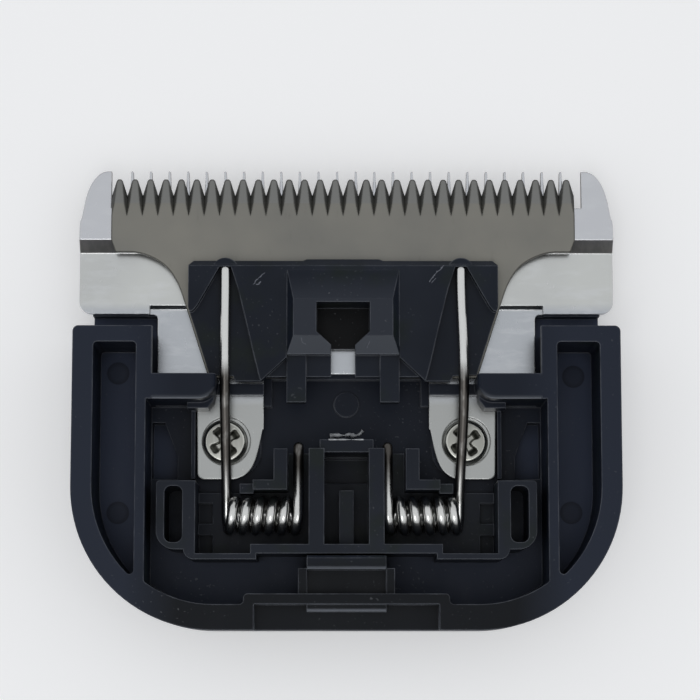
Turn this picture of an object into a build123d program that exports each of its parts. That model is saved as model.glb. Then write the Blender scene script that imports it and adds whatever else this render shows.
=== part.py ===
from build123d import *
import math
import os

# Replacement blade block of a hair clipper, lying on its outer face with the inner side up.
# X runs across the teeth, Y from the rear of the housing to the tooth tips, Z up from the outer face.
# Lengths are in millimetres.

# Overall size
HALF_WIDTH = 23.65
REAR_Y = -20.3
TIP_Y = 20.3
RIM_Z = 9.4
SHEET = 0.6
RUNNING_GAP = 0.02

# Moulded housing
REAR_CORNER_R = 12.3
ARM_FRONT_Y = 5.85
ARM_CORNER_R = 0.5
OUTER_EDGE_R = 4.0
LIP_HALF_WIDTH = HALF_WIDTH - 1.15
LIP_Y = 12.2
LIP_RAMP_Y = 7.0
LIP_EDGE = 0.9
LEDGE_Y = 7.5
LEDGE_Z = 2.0
TRENCH_UNDERCUT = 0.5
TRENCH_TOP_Z = RIM_Z - 0.9
BAY_FLOOR_Z = 2.4
BAY_HALF_WIDTH = 17.28
ARM_INNER_X = BAY_HALF_WIDTH - 0.48
BAY_INSET = 2.2
CROSSBAR_FRONT_Y = 1.7
CROSSBAR_REAR_Y = -0.5
CROSSBAR_END_X = 11.3
CROSSBAR_END_R = 1.5
CROSSBAR_EDGE_R = 0.35
CROSSBAR_GAP = 0.15
CLAMP_INNER_X = 7.25
CLAMP_FRONT_Y = 1.3
CLAMP_REAR_Y = 0.33
CLAMP_TOP_Z = 4.8
SIDE_POCKET_X = 18.16
SIDE_POCKET_WALL = 1.8
SIDE_POCKET_FRONT_Y = 4.45
SIDE_POCKET_Z = 2.2
NOTCH_FRONT_Y = -18.1
NOTCH_Z = 8.3
STEP_HALF_WIDTH = HALF_WIDTH - REAR_CORNER_R - 2.55
NOTCH_HALF_WIDTH = STEP_HALF_WIDTH - 0.9
STEP_Y = -17.2
HOOK_BASE_HALF_WIDTH = 4.15
HOOK_HALF_WIDTH = 3.4
HOOK_FRONT_Y = -13.95
HOOK_BAR_Y = -15.1
HOOK_CATCH_Y = -17.6
HOOK_REAR_Y = -18.7
HOOK_RECESS_Z = 7.6
HOOK_TOP_Z = 9.1
RELIEF_FLOOR_Z = 0.9
RELIEF_FRONT_Y = -1.9
RELIEF_BEND_Y = -4.9
RELIEF_REAR_Y = -6.9
RELIEF_FRONT_WIDTH = 1.1
RELIEF_REAR_WIDTH = 2.25
TAB_GUIDE_WIDTH = 0.35
TAB_GUIDE_Z = 4.2

# Fixed blade: bent from sheet, with a tooth plane, a lower plane and two legs that end in screw tabs
TOOTH_PLANE_Z = 4.9
LOWER_PLANE_Z = 4.0
LEG_Z = 3.6
JOGGLE_FRONT_Y = 14.15
JOGGLE_REAR_Y = 13.1
LEG_BEND_FRONT_Y = 8.4
LEG_BEND_REAR_Y = 8.1
BEND_REACH = 0.7
PLATE_REAR_Y = 7.62
PLATE_CORNER_R = 1.1
LEG_OUTER_X = ARM_INNER_X - 0.08
LEG_CORNER_R = 0.45
LEG_FOOT_Y = 0.6
CENTRE_REAR_Y = 2.3
TAB_OUTER_X = 13.2
TAB_INNER_X = 7.3
TAB_REAR_Y = -7.0
SCREW_X = 10.58
SCREW_Y = -3.65
EAR_INNER_X = 20.85
EAR_TOP_X = 21.2
FIXED_TEETH = 24
FIXED_END_GAP = 1.82
FIXED_ROOT_Y = 17.0
FIXED_TIP_WIDTH = 0.2
FIXED_BASE_WIDTH = 0.42

# Moving blade and the drive block on it, standing a little to one side of the middle of the stroke
REST_SHIFT = -0.3
BLADE_THICKNESS = 0.5
BLADE_HALF_WIDTH = 20.5
MOVING_TEETH = 30
MOVING_TIP_Y = 19.53
MOVING_BEVEL_Y = 17.34
MOVING_ROOT_Y = 16.17
MOVING_GAP_Y = 18.1
MOVING_GAP_HALF_ANGLE = 37
MOVING_MOUTH_HALF = 0.42
MOVING_TIP_CORNER = 0.14
MOVING_BEVEL_DROP = 0.28
BLADE_WAIST_Y = 12.97
BLADE_NECK_HALF = 14.1
BLADE_NECK_Y = 8.9
BLADE_REAR_Y = 1.75
BLADE_REAR_HALF = 11.8
WINDOW_X = 9.6
WINDOW_Y = 9.6
WINDOW_WIDTH = 2.6
WINDOW_DEPTH = 1.4
WINDOW_FIT = 0.05

BLOCK_THICKNESS = 1.58
BLOCK_HALF_WIDTH = 13.56
BLOCK_FRONT_Y = 11.98
BLOCK_MIDDLE_STEP = 0.17
BLOCK_SIDE_Y = 7.8
BLOCK_REAR_HALF = 11.68
BLOCK_REAR_Y = 1.38
BLOCK_HEEL_HALF = 9.6
GROOVE_X = BLOCK_HALF_WIDTH - 3.23
GROOVE_FIT = 0.06
BLOCK_FRONT_CHAMFER = 0.5
BUMP_R = 1.2
BUMP_RISE = 0.22
TOWER_TOP_Z = 8.2
TOWER_HALF_WIDTH = 4.34
TOWER_FOOT_HALF = 4.9
TOWER_FRONT_Y = 11.1
TOWER_CREST_Y = 8.4
TOWER_REAR_Y = 5.13
TOWER_FOOT_Y = 3.65
SLOT_HALF_WIDTH = 2.33
SLOT_REAR_Y = 5.5
SLOT_FRONT_Y = 8.1
SLOT_WALL = 0.35
SLOT_FLOOR_Z = LOWER_PLANE_Z + 0.5
THROAT_HALF_WIDTH = 1.05
THROAT_FRONT_Y = 4.4
THROAT_REAR_Y = 2.2
FORK_INNER_X = 3.22
FORK_OUTER_X = 4.93
FORK_HEIGHT = 1.1
WEB_HEIGHT = 0.8
WEB_OUTER_X = 7.1
FORK_REAR_Y = -0.5

# Torsion springs, one each side: wire, coil and the two legs
WIRE_D = 0.86
WIRE_SIDES = 6
COIL_MEAN_R = 1.3
COIL_HALF_TURNS = 11
COIL_PITCH = 1.13
COIL_START_X = 10.2
COIL_Y = -10.33
COIL_Z = 5.0
LONG_LEG_TIP_Y = 11.35
LONG_LEG_SLOPE = 13.6
SHORT_LEG_TIP_Y = -3.9
SHORT_LEG_SLOPE = 8

# Pan head screws
HEAD_D = 3.74
HEAD_HEIGHT = 1.0
SHANK_D = 2.0
SHANK_LENGTH = 2.5
HEAD_RECESS_D = 4.26
HEAD_RECESS_DEPTH = 0.15
TAB_HOLE_D = 2.2
CROSS_LENGTH = 2.1
CROSS_WIDTH = 0.5
CROSS_DEPTH = 0.55
CROSS_TURN = 35

# Spring carrier: the inner moulding with ears, troughs and ribs
CARRIER_WALL = 0.5
CARRIER_TOP_Z = 8.6
TROUGH_FLOOR_Z = COIL_Z - COIL_MEAN_R - WIRE_D / 2 - 0.06
RIB_INNER_X = 1.92
RIB_OUTER_X = 3.25
RIB_FRONT_Y = -4.7
BRIDGE_FRONT_Y = -3.9
CENTRE_RIB_HALF = 0.62
CENTRE_RIB_FRONT_Y = -8.2
CENTRE_RIB_Z = 6.4
GUIDE_FLOOR_Z = 4.2
GUIDE_FLOOR_FRONT_Y = -7.36
TROUGH_REAR_Y = -12.95
BAR_REAR_Y = -13.75
TROUGH_DEEP_REAR_Y = -13.75
TROUGH_STEP_X = 8.25
EAR_FRONT_Y = -7.5
EAR_OUTER_X = BAY_HALF_WIDTH - 0.93
EAR_REAR_Y = -13.4
EAR_HOLE_OUTER_X = EAR_OUTER_X - 0.7
EAR_HOLE_INNER_X = EAR_HOLE_OUTER_X - 1.55
EAR_HOLE_FRONT_Y = -7.95
EAR_HOLE_REAR_Y = -12.8
EAR_HOLE_R = 0.6
TROUGH_OUTER_X = EAR_HOLE_INNER_X - 1.1
POST_INNER_X = 5.12
POST_OUTER_X = 6.3
POST_FRONT_Y = -4.65
POST_TOP_Z = 7.6
FOOT_OUTER_X = 8.1
FOOT_STEP_Z = 5.6
FOOT_FRONT_Y = -7.35
FOOT_REAR_Y = -8.2

BLADE_LOW_Z = TOOTH_PLANE_Z + RUNNING_GAP
BLADE_TOP_Z = BLADE_LOW_Z + BLADE_THICKNESS
BLOCK_TOP_Z = BLADE_TOP_Z + BLOCK_THICKNESS
GROOVE_FLOOR_Z = BLOCK_TOP_Z - 0.85
WIRE_TOP_Z = GROOVE_FLOOR_Z + RUNNING_GAP + WIRE_D / 2


def block(x0, x1, y0, y1, z0, z1):
    """Box between two corners."""
    size = Box(abs(x1 - x0), abs(y1 - y0), abs(z1 - z0))
    return Pos((x0 + x1) / 2, (y0 + y1) / 2, (z0 + z1) / 2) * size


def both_sides(shape):
    """The shape and its mirror image across the middle plane."""
    return shape + mirror(shape, Plane.YZ)


def prism(points, z0, z1):
    """Upright prism over a plan polygon."""
    plan = make_face(Polyline(*points, close=True))
    return extrude(Pos(0, 0, z0) * plan, z1 - z0)


def profile_bar(points, x0, x1):
    """Bar along X over a polygon of (Y, Z) points."""
    section = make_face(Polyline(*[(x0, y, z) for y, z in points], close=True))
    return extrude(section, x1 - x0, dir=(1, 0, 0))


def housing_plan(inset, front_y):
    """Plan inside the housing's outer edge, with the two large rear corners."""
    width = 2 * (HALF_WIDTH - inset)
    rear = REAR_Y + inset
    plan = Pos(0, (rear + front_y) / 2) * Rectangle(width, front_y - rear)
    return fillet(plan.vertices().sort_by(Axis.Y)[:2], REAR_CORNER_R - inset)


def housing_shell():
    """Outer form: a tray with rounded outer edges and a thin lip under the fixed blade."""
    body = extrude(housing_plan(0, LIP_Y), RIM_Z)
    low_edges = body.faces().sort_by(Axis.Z)[0].edges()
    body = fillet([edge for edge in low_edges if edge.center().Y < LIP_Y - 0.1], OUTER_EDGE_R)
    lip_top = LOWER_PLANE_Z - SHEET
    body -= block(-HALF_WIDTH, HALF_WIDTH, ARM_FRONT_Y, LIP_Y, lip_top, RIM_Z)
    body -= both_sides(block(ARM_INNER_X, HALF_WIDTH, ARM_FRONT_Y, LEDGE_Y, LEDGE_Z, RIM_Z))
    body -= both_sides(block(LIP_HALF_WIDTH, HALF_WIDTH + 1, ARM_FRONT_Y, LIP_Y, 0, RIM_Z))
    ramp = [(LIP_RAMP_Y, 0), (LIP_Y, 0), (LIP_Y, lip_top - LIP_EDGE)]
    body -= profile_bar(ramp, -HALF_WIDTH, HALF_WIDTH)
    front_edges = body.edges().filter_by(Axis.Z).group_by(Axis.X)
    arm_corners = [edge for edge in front_edges[0] + front_edges[-1] if abs(edge.center().Y - ARM_FRONT_Y) < 0.01]
    return fillet(arm_corners, ARM_CORNER_R)


def side_pocket():
    """Lightening pocket beside the bay, its outer side following the housing's edge."""
    plan = housing_plan(SIDE_POCKET_WALL, SIDE_POCKET_FRONT_Y)
    window = Pos((SIDE_POCKET_X + HALF_WIDTH) / 2, 0) * Rectangle(HALF_WIDTH - SIDE_POCKET_X, 60)
    plan = plan & window
    by_y = plan.vertices().sort_by(Axis.Y)
    plan = fillet(by_y[:1] + by_y[-2:], 0.35)
    return extrude(Pos(0, 0, SIDE_POCKET_Z) * plan, RIM_Z)


def main_bay():
    """Open bay of the housing behind the crossbars, with the thick band left round the rear notch."""
    plan = housing_plan(BAY_INSET, CROSSBAR_REAR_Y)
    middle = (REAR_Y + CROSSBAR_REAR_Y) / 2
    plan = plan & (Pos(0, middle) * Rectangle(2 * BAY_HALF_WIDTH, CROSSBAR_REAR_Y - REAR_Y))
    plan -= Pos(0, (REAR_Y + STEP_Y) / 2) * Rectangle(2 * STEP_HALF_WIDTH, STEP_Y - REAR_Y)
    arc_end_x = HALF_WIDTH - REAR_CORNER_R
    corners = [corner for corner in plan.vertices() if corner.Y < -14 and abs(abs(corner.X) - arc_end_x) > 0.1]
    plan = fillet(corners, 0.35)
    return extrude(Pos(0, 0, BAY_FLOOR_Z) * plan, RIM_Z)


def mounting_hook():
    """Catch at the rear that the clipper's latch snaps over: a base, a front bar and a hooked rear bar."""
    base = block(-HOOK_BASE_HALF_WIDTH, HOOK_BASE_HALF_WIDTH, STEP_Y, -15.0, BAY_FLOOR_Z, NOTCH_Z)
    web = block(-HOOK_HALF_WIDTH, HOOK_HALF_WIDTH, HOOK_CATCH_Y, HOOK_FRONT_Y, BAY_FLOOR_Z, HOOK_RECESS_Z)
    base -= block(-HOOK_HALF_WIDTH, HOOK_HALF_WIDTH, STEP_Y, HOOK_BAR_Y, HOOK_RECESS_Z, RIM_Z)
    front_bar = block(-HOOK_HALF_WIDTH, HOOK_HALF_WIDTH, HOOK_BAR_Y, HOOK_FRONT_Y, BAY_FLOOR_Z, HOOK_TOP_Z)
    rear_bar = block(-HOOK_HALF_WIDTH, HOOK_HALF_WIDTH, HOOK_REAR_Y, HOOK_CATCH_Y, HOOK_RECESS_Z, HOOK_TOP_Z)
    front_bar = chamfer(front_bar.edges().filter_by(Axis.X).sort_by(Axis.Z)[-2:], 0.2)
    rear_bar = chamfer(rear_bar.edges().filter_by(Axis.X).sort_by(Axis.Z)[-2:], 0.2)
    return base + web + front_bar + rear_bar


def tab_boss():
    """Raised seat under a screw tab, joined to the front bay's floor."""
    seat = LEG_Z - SHEET
    boss = block(TAB_INNER_X + 0.25, TAB_OUTER_X - 0.2, TAB_REAR_Y + 0.4, CROSSBAR_REAR_Y, BAY_FLOOR_Z - 0.5, seat)
    boss = fillet(boss.edges().filter_by(Axis.Z).group_by(Axis.Y)[0], 2)
    pilot_depth = SHANK_LENGTH - SHEET + HEAD_RECESS_DEPTH
    pilot = Pos(SCREW_X, SCREW_Y, seat - pilot_depth / 2) * Cylinder(SHANK_D / 2, pilot_depth)
    return boss, pilot


def crossbar():
    """Wall between arm and drive block that holds a leg of the fixed blade down, with a swept inner end."""
    low = LEG_Z + CROSSBAR_GAP
    bar = block(CROSSBAR_END_X, BAY_HALF_WIDTH + 0.2, CROSSBAR_REAR_Y, CROSSBAR_FRONT_Y, low, RIM_Z)
    bar = fillet(bar.edges().filter_by(Axis.Z).group_by(Axis.X)[0].sort_by(Axis.Y)[:1], CROSSBAR_END_R)
    rear_top = bar.faces().sort_by(Axis.Z)[-1].edges().sort_by(Axis.Y)[:2]
    bar = fillet(rear_top, CROSSBAR_EDGE_R)
    web_x = TAB_OUTER_X + 0.7
    cheek = prism([(CROSSBAR_END_X + 0.2, 0.4), (web_x, 0.4), (web_x, -1.0), (CROSSBAR_END_X + 0.8, -1.0),
                   (CROSSBAR_END_X + 0.3, -0.35)], low, 6.4)
    clamp = block(CLAMP_INNER_X, CROSSBAR_END_X + 0.3, CLAMP_REAR_Y, CLAMP_FRONT_Y, low, CLAMP_TOP_Z)
    return bar + cheek + clamp


def relief():
    """Deep core beside the screw tab, with a slanted side towards the tab."""
    outer = BAY_HALF_WIDTH - 0.1
    return prism([(outer, RELIEF_FRONT_Y), (outer - RELIEF_FRONT_WIDTH, RELIEF_FRONT_Y),
                  (outer - RELIEF_REAR_WIDTH, RELIEF_BEND_Y), (outer - RELIEF_REAR_WIDTH, RELIEF_REAR_Y),
                  (outer, RELIEF_REAR_Y)], RELIEF_FLOOR_Z, RIM_Z)


def housing():
    """Black moulded tray that carries everything else."""
    body = housing_shell()
    body -= both_sides(side_pocket())
    body -= main_bay()
    seat = LEG_Z - SHEET
    bend_x = LEG_OUTER_X + BEND_REACH + 0.1
    body -= block(-ARM_INNER_X, ARM_INNER_X, CROSSBAR_REAR_Y, LEG_BEND_FRONT_Y + 0.1, seat, RIM_Z)
    body -= block(-bend_x, bend_x, LEDGE_Y - 0.1, LEG_BEND_FRONT_Y + 0.1, seat, RIM_Z)
    body -= block(-6.6, 6.6, CROSSBAR_REAR_Y - 0.1, 1.9, BAY_FLOOR_Z, RIM_Z)
    trench_x = ARM_INNER_X + TRENCH_UNDERCUT
    body -= both_sides(block(LEG_OUTER_X - 0.6, trench_x, CROSSBAR_FRONT_Y, LEDGE_Y, LEDGE_Z, TRENCH_TOP_Z))
    boss, pilot = tab_boss()
    body += both_sides(boss)
    body -= both_sides(pilot)
    body += both_sides(crossbar())
    body -= both_sides(relief())
    guide_x = TAB_OUTER_X + 0.08
    body += both_sides(block(guide_x, guide_x + TAB_GUIDE_WIDTH, TAB_REAR_Y, -0.6, BAY_FLOOR_Z - 0.3, TAB_GUIDE_Z))
    body -= block(-NOTCH_HALF_WIDTH, NOTCH_HALF_WIDTH, REAR_Y - 1, NOTCH_FRONT_Y, NOTCH_Z, RIM_Z + 1)
    body += mounting_hook()
    pad = Pos(0, -0.3, BAY_FLOOR_Z) * Cylinder(1.1, 0.25, align=(Align.CENTER, Align.CENTER, Align.MIN))
    return body + pad


def fixed_plan():
    """Plan of the fixed blade's right half without the gaps between its teeth."""
    shoulder = Spline((EAR_TOP_X, TIP_Y), (22.3, 19.65), (23.05, 18.1), (23.5, 16.0), (HALF_WIDTH, 14.4),
                      tangents=[(1, -0.1), (0, -1)])
    side = Polyline((HALF_WIDTH, 14.4), (HALF_WIDTH, PLATE_REAR_Y + PLATE_CORNER_R))
    corner = RadiusArc(side @ 1, (HALF_WIDTH - PLATE_CORNER_R, PLATE_REAR_Y), PLATE_CORNER_R)
    leg = Polyline(corner @ 1, (LEG_OUTER_X, PLATE_REAR_Y), (LEG_OUTER_X, LEG_FOOT_Y), (TAB_OUTER_X, LEG_FOOT_Y),
                   (TAB_OUTER_X - 0.1, TAB_REAR_Y + 0.6))
    heel = RadiusArc(leg @ 1, (TAB_OUTER_X - 0.7, TAB_REAR_Y), 0.6)
    sole = Line(heel @ 1, (TAB_INNER_X + 2.9, TAB_REAR_Y))
    toe = Spline(sole @ 1, (TAB_INNER_X + 1.27, TAB_REAR_Y + 0.7), (TAB_INNER_X + 0.57, TAB_REAR_Y + 2.15),
                 (TAB_INNER_X + 0.1, TAB_REAR_Y + 4.35), (TAB_INNER_X, 0.4), tangents=[(-1, 0), (0, 1)])
    middle = Polyline(toe @ 1, (TAB_INNER_X, CENTRE_REAR_Y), (0, CENTRE_REAR_Y), (0, TIP_Y), (EAR_TOP_X, TIP_Y))
    half = make_face(shoulder + side + corner + leg + heel + sole + toe + middle)
    inner_corner = half.vertices().sort_by_distance((LEG_OUTER_X, PLATE_REAR_Y))[:1]
    return fillet(inner_corner, LEG_CORNER_R)


def fixed_tooth():
    """One tooth: straight sides that lean to a blunt tip with broken corners."""
    half_base = FIXED_BASE_WIDTH / 2
    half_tip = FIXED_TIP_WIDTH / 2
    bevel = 0.6 * half_tip
    right = [(half_base, FIXED_ROOT_Y), (half_tip, TIP_Y - bevel), (half_tip - bevel, TIP_Y)]
    left = [(-x, y) for x, y in reversed(right)]
    return make_face(Polyline(*right, *left, close=True))


def spread(count, pitch):
    """Places along X, spread evenly about the middle."""
    return [(index - (count - 1) / 2) * pitch for index in range(count)]


def bent_sheet(points, x0, x1):
    """Sheet that follows a line of (Y, Z) points on its upper face."""
    under = [(y, z - SHEET) for y, z in reversed(points)]
    return profile_bar(points + under, x0, x1)


def fixed_blade():
    """Steel blade with ears, 24 teeth and two legs, bent from one sheet."""
    joggle = [(TIP_Y, TOOTH_PLANE_Z), (JOGGLE_FRONT_Y, TOOTH_PLANE_Z), (JOGGLE_REAR_Y, LOWER_PLANE_Z)]
    leg_line = [(LEG_BEND_FRONT_Y, LOWER_PLANE_Z), (LEG_BEND_REAR_Y, LEG_Z), (TAB_REAR_Y, LEG_Z)]
    bend_x = LEG_OUTER_X + BEND_REACH
    sheet = bent_sheet(joggle + leg_line, 0, bend_x)
    sheet += bent_sheet(joggle + [(PLATE_REAR_Y, LOWER_PLANE_Z)], bend_x, HALF_WIDTH)
    sheet &= extrude(fixed_plan(), RIM_Z)
    sheet = both_sides(sheet)
    sheet -= block(-EAR_INNER_X, EAR_INNER_X, FIXED_ROOT_Y, TIP_Y + 1, 0, RIM_Z)
    low = TOOTH_PLANE_Z - SHEET
    pitch = 2 * (EAR_INNER_X - FIXED_END_GAP) / (FIXED_TEETH - 1)
    sheet += [extrude(Pos(x, 0, low) * fixed_tooth(), SHEET) for x in spread(FIXED_TEETH, pitch)]
    hole = Pos(SCREW_X, SCREW_Y, LEG_Z) * Cylinder(TAB_HOLE_D / 2, 4 * SHEET)
    seat = Pos(SCREW_X, SCREW_Y, LEG_Z) * Cylinder(HEAD_RECESS_D / 2, 2 * HEAD_RECESS_DEPTH)
    return sheet - both_sides(hole + seat)


def moving_plan():
    """Right half of the moving blade's plan before its gaps are ground."""
    neck_x = BLADE_HALF_WIDTH - 1.75
    neck = Spline((neck_x, BLADE_WAIST_Y), (neck_x - 1.85, 12.5), (neck_x - 3.25, 11.55), (BLADE_NECK_HALF + 0.5, 10.2),
                  (BLADE_NECK_HALF, BLADE_NECK_Y), tangents=[(-1, -0.05), (-0.32, -1)])
    outline = Polyline(neck @ 1, (BLADE_REAR_HALF, BLADE_REAR_Y), (0, BLADE_REAR_Y), (0, MOVING_TIP_Y),
                       (BLADE_HALF_WIDTH, MOVING_TIP_Y), (BLADE_HALF_WIDTH, 14.05),
                       (BLADE_HALF_WIDTH - 0.4, BLADE_WAIST_Y), neck @ 0)
    return make_face(neck + outline)


def tooth_gap():
    """What the wheel grinds away between two teeth: a V whose valley runs down from the root to the lower face."""
    run = MOVING_GAP_Y - MOVING_ROOT_Y
    fall = BLADE_THICKNESS / run
    slope = math.tan(math.radians(MOVING_GAP_HALF_ANGLE))
    lead = 0.3
    deep = lead * fall
    high = 2 * BLADE_THICKNESS
    start_y = MOVING_ROOT_Y - lead
    section = make_face(Polyline((0, start_y, BLADE_TOP_Z + deep), (-high * slope, start_y, BLADE_TOP_Z + deep + high),
                                 (high * slope, start_y, BLADE_TOP_Z + deep + high), close=True))
    reach = MOVING_TIP_Y + lead - start_y
    valley = extrude(section, reach * math.hypot(1, fall), dir=(0, 1, -fall))
    corner_y = MOVING_TIP_Y - MOVING_TIP_CORNER
    wide = MOVING_MOUTH_HALF + MOVING_TIP_CORNER
    flare = prism([(0, MOVING_GAP_Y), (MOVING_MOUTH_HALF, corner_y), (wide, MOVING_TIP_Y), (wide, MOVING_TIP_Y + lead),
                   (-wide, MOVING_TIP_Y + lead), (-wide, MOVING_TIP_Y), (-MOVING_MOUTH_HALF, corner_y)], 0, RIM_Z)
    return valley + flare


def moving_blade():
    """Thin steel cutter: its teeth are what is left between ground gaps, and a bevel thins them towards the tips."""
    sheet = both_sides(extrude(Pos(0, 0, BLADE_LOW_Z) * moving_plan(), BLADE_THICKNESS))
    grind = [(MOVING_BEVEL_Y, BLADE_TOP_Z), (MOVING_TIP_Y + 0.1, BLADE_TOP_Z),
             (MOVING_TIP_Y + 0.1, BLADE_TOP_Z - MOVING_BEVEL_DROP)]
    sheet -= profile_bar(grind, -BLADE_HALF_WIDTH, BLADE_HALF_WIDTH)
    sheet -= both_sides(block(WINDOW_X - WINDOW_WIDTH / 2, WINDOW_X + WINDOW_WIDTH / 2,
                              WINDOW_Y - WINDOW_DEPTH / 2, WINDOW_Y + WINDOW_DEPTH / 2, 0, RIM_Z))
    sheet -= block(-FORK_INNER_X, FORK_INNER_X, BLADE_REAR_Y - 1, THROAT_FRONT_Y + 0.6, 0, RIM_Z)
    well_half = SLOT_HALF_WIDTH + SLOT_WALL + WINDOW_FIT
    sheet -= block(-well_half, well_half, THROAT_FRONT_Y, SLOT_FRONT_Y + SLOT_WALL + WINDOW_FIT, 0, RIM_Z)
    gap = tooth_gap()
    pitch = 2 * BLADE_HALF_WIDTH / MOVING_TEETH
    sheet -= [Pos(x, 0, 0) * gap for x in spread(MOVING_TEETH + 1, pitch)]
    return Pos(REST_SHIFT, 0, 0) * sheet


def block_plan():
    """Right half of the drive block's plate."""
    return [
        (0, BLOCK_FRONT_Y + BLOCK_MIDDLE_STEP),
        (3.2, BLOCK_FRONT_Y + BLOCK_MIDDLE_STEP),
        (3.5, BLOCK_FRONT_Y),
        (BLOCK_HALF_WIDTH - 0.45, BLOCK_FRONT_Y),
        (BLOCK_HALF_WIDTH, BLOCK_FRONT_Y - 0.45),
        (BLOCK_HALF_WIDTH, BLOCK_SIDE_Y),
        (BLOCK_REAR_HALF, CROSSBAR_FRONT_Y + 0.25),
        (BLOCK_HEEL_HALF, CROSSBAR_FRONT_Y + 0.15),
        (BLOCK_HEEL_HALF - 0.2, BLOCK_REAR_Y),
        (7.1, BLOCK_REAR_Y),
        (FORK_OUTER_X, 3.4),
        (FORK_OUTER_X, THROAT_FRONT_Y),
        (0, THROAT_FRONT_Y),
    ]


def drive_tower():
    """Raised middle of the drive block, sloping on all four sides."""
    side = [
        (TOWER_FOOT_Y, BLADE_TOP_Z),
        (TOWER_FOOT_Y, BLOCK_TOP_Z),
        (TOWER_REAR_Y, TOWER_TOP_Z),
        (TOWER_CREST_Y, TOWER_TOP_Z),
        (TOWER_FRONT_Y, BLOCK_TOP_Z),
        (TOWER_FRONT_Y, BLADE_TOP_Z),
    ]
    front = [
        (-TOWER_FOOT_HALF, BLADE_TOP_Z),
        (-TOWER_FOOT_HALF, BLOCK_TOP_Z),
        (-TOWER_HALF_WIDTH, TOWER_TOP_Z),
        (TOWER_HALF_WIDTH, TOWER_TOP_Z),
        (TOWER_FOOT_HALF, BLOCK_TOP_Z),
        (TOWER_FOOT_HALF, BLADE_TOP_Z),
    ]
    drafted = make_face(Polyline(*[(x, TOWER_FOOT_Y, z) for x, z in front], close=True))
    tower = profile_bar(side, -TOWER_FOOT_HALF, TOWER_FOOT_HALF)
    tower &= extrude(drafted, TOWER_FRONT_Y - TOWER_FOOT_Y, dir=(0, 1, 0))
    return tower


def drive_slot():
    """Slot for the drive pin, square in front and tapering to the throat at the rear."""
    return prism([
        (-SLOT_HALF_WIDTH, SLOT_FRONT_Y),
        (-SLOT_HALF_WIDTH, SLOT_REAR_Y),
        (-THROAT_HALF_WIDTH, THROAT_FRONT_Y),
        (-THROAT_HALF_WIDTH, THROAT_REAR_Y),
        (THROAT_HALF_WIDTH, THROAT_REAR_Y),
        (THROAT_HALF_WIDTH, THROAT_FRONT_Y),
        (SLOT_HALF_WIDTH, SLOT_REAR_Y),
        (SLOT_HALF_WIDTH, SLOT_FRONT_Y),
    ], SLOT_FLOOR_Z, RIM_Z)


def drive_block():
    """Black moulded block on the moving blade, with spring grooves, the fork and two studs through the blade."""
    plate = both_sides(prism(block_plan(), BLADE_TOP_Z, BLOCK_TOP_Z))
    slant = [(BLOCK_FRONT_Y - BLOCK_FRONT_CHAMFER, BLOCK_TOP_Z), (BLOCK_FRONT_Y + 0.2, BLOCK_TOP_Z),
             (BLOCK_FRONT_Y + 0.2, BLOCK_TOP_Z - BLOCK_FRONT_CHAMFER - 0.2)]
    plate -= profile_bar(slant, -BLOCK_HALF_WIDTH, BLOCK_HALF_WIDTH)
    half_wire = WIRE_D / 2 + GROOVE_FIT
    groove_front = LONG_LEG_TIP_Y + GROOVE_FIT
    groove = prism([(GROOVE_X - half_wire, groove_front), (GROOVE_X + half_wire, groove_front),
                    (BLOCK_HALF_WIDTH - 0.75, BLOCK_SIDE_Y + 0.1), (BLOCK_HALF_WIDTH - 0.4, BLOCK_SIDE_Y - 0.3),
                    (BLOCK_HALF_WIDTH + 1, BLOCK_SIDE_Y - 0.4), (BLOCK_HALF_WIDTH - 1, 0.5), (6.9, 0.5),
                    (7.3, 1.7), (7.75, 3.5), (8.55, 6.9), (9.2, 9.5)], GROOVE_FLOOR_Z, BLOCK_TOP_Z + 1)
    plate -= both_sides(groove)
    bump = Pos(GROOVE_X, BLOCK_FRONT_Y + BUMP_RISE - BUMP_R, BLADE_TOP_Z) * Cylinder(
        BUMP_R, BLOCK_THICKNESS - 0.15, align=(Align.CENTER, Align.CENTER, Align.MIN))
    bump &= block(0, BLOCK_HALF_WIDTH, BLOCK_FRONT_Y - BLOCK_FRONT_CHAMFER, BLOCK_FRONT_Y + 1, 0, RIM_Z)
    plate += both_sides(bump)
    legs = block(FORK_INNER_X, FORK_OUTER_X, FORK_REAR_Y, THROAT_FRONT_Y, BLADE_LOW_Z, BLADE_TOP_Z + FORK_HEIGHT)
    legs -= block(0, FORK_OUTER_X + 1, BLADE_REAR_Y, THROAT_FRONT_Y + 1, 0, BLADE_TOP_Z)
    web = block(THROAT_HALF_WIDTH, WEB_OUTER_X, BLADE_REAR_Y, THROAT_FRONT_Y, BLADE_TOP_Z, BLADE_TOP_Z + WEB_HEIGHT)
    well_half = SLOT_HALF_WIDTH + SLOT_WALL
    well = block(-well_half, well_half, THROAT_FRONT_Y, SLOT_FRONT_Y + SLOT_WALL, LOWER_PLANE_Z + RUNNING_GAP,
                 BLADE_TOP_Z + SLOT_WALL)
    solid = plate + drive_tower() + both_sides(legs) + both_sides(web) + well
    through = block(-THROAT_HALF_WIDTH, THROAT_HALF_WIDTH, THROAT_REAR_Y, THROAT_FRONT_Y, 0, RIM_Z)
    through += drive_slot()
    stud = block(WINDOW_X - WINDOW_WIDTH / 2 + WINDOW_FIT, WINDOW_X + WINDOW_WIDTH / 2 - WINDOW_FIT,
                 WINDOW_Y - WINDOW_DEPTH / 2 + WINDOW_FIT, WINDOW_Y + WINDOW_DEPTH / 2 - WINDOW_FIT,
                 LOWER_PLANE_Z + RUNNING_GAP, BLADE_TOP_Z)
    return Pos(REST_SHIFT, 0, 0) * (solid - through + both_sides(stud))


def coil_point(x, angle):
    """Point on the coil's circle, with the angle counted from its underside towards the rear."""
    turn = math.radians(angle)
    return (x, COIL_Y - COIL_MEAN_R * math.sin(turn), COIL_Z - COIL_MEAN_R * math.cos(turn))


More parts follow.
